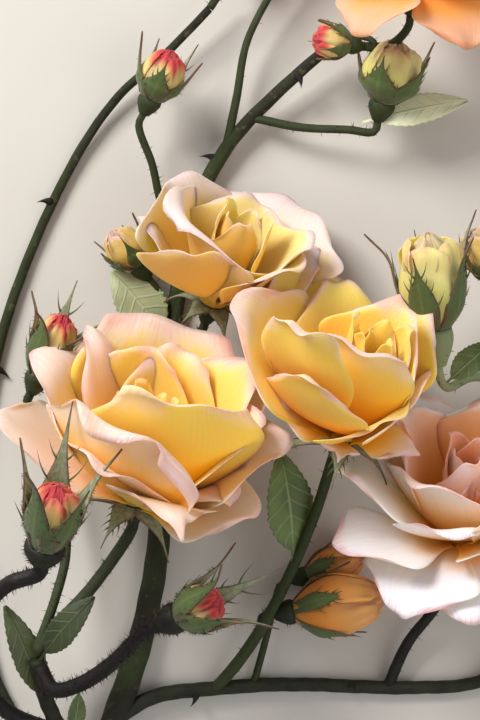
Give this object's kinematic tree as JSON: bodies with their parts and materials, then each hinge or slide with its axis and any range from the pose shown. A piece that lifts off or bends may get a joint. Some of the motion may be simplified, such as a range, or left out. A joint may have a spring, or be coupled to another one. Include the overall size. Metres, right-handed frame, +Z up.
{
  "type": "cut flowering rose branch",
  "caption": "Cut branch of a bush rose lying flat: open layered blooms, pointed buds in leafy sepals, prickly stems and a few leaves.",
  "frame": {"origin": "under the middle of the branch's bounding box, on the flat surface that it lies on", "axes": "+Y from the cut end of the cane towards its tip, +Z up from the surface, +X to the right as seen from above with the tip away from the viewer"},
  "size_m": [0.1836, 0.27, 0.0949],
  "materials": {
    "wood": "matt brown bark with a green bloom",
    "stem": "green young stem flushed purple",
    "calyx": "soft green with a fine grey down",
    "leaf": "satin green leaf",
    "gold": "velvety yellow petal with a peach rim",
    "peach": "velvety peach petal",
    "cream": "faded cream and pink petal",
    "orange": "velvety orange petal",
    "coral": "velvety coral red bud petal"
  },
  "bodies": {
    "root": {"cane": "wood", "left_stem": "stem", "right_stem": "stem", "side_cane": "wood", "front_bloom": "gold", "front_bloom_calyx": "calyx", "middle_bloom": "gold", "middle_bloom_calyx": "calyx", "back_bloom": "peach", "back_bloom_calyx": "calyx", "pale_bloom": "cream", "pale_bloom_calyx": "calyx", "corner_bloom": "orange", "corner_bloom_calyx": "calyx", "near_bud": "coral", "near_bud_calyx": "calyx", "left_bud": "coral", "left_bud_calyx": "calyx", "low_bud": "coral", "low_bud_calyx": "calyx", "half_open_bud": "gold", "half_open_bud_calyx": "calyx", "orange_bud": "orange", "orange_bud_calyx": "calyx", "rear_bud": "orange", "rear_bud_calyx": "calyx", "top_bud": "gold", "top_bud_calyx": "calyx", "red_bud": "coral", "red_bud_calyx": "calyx", "pale_bud": "peach", "pale_bud_calyx": "calyx", "edge_bud": "peach", "edge_bud_calyx": "calyx", "small_red_bud": "coral", "small_red_bud_calyx": "calyx", "side_tip_bud": "coral", "side_tip_bud_calyx": "calyx", "far_bud": "peach", "far_bud_calyx": "calyx", "middle_leaf": "leaf", "back_leaf": "leaf", "edge_leaf": "leaf", "top_leaf": "leaf", "dark_leaf": "leaf", "left_leaf": "leaf", "low_bract": "leaf"}
  },
  "joints": []
}
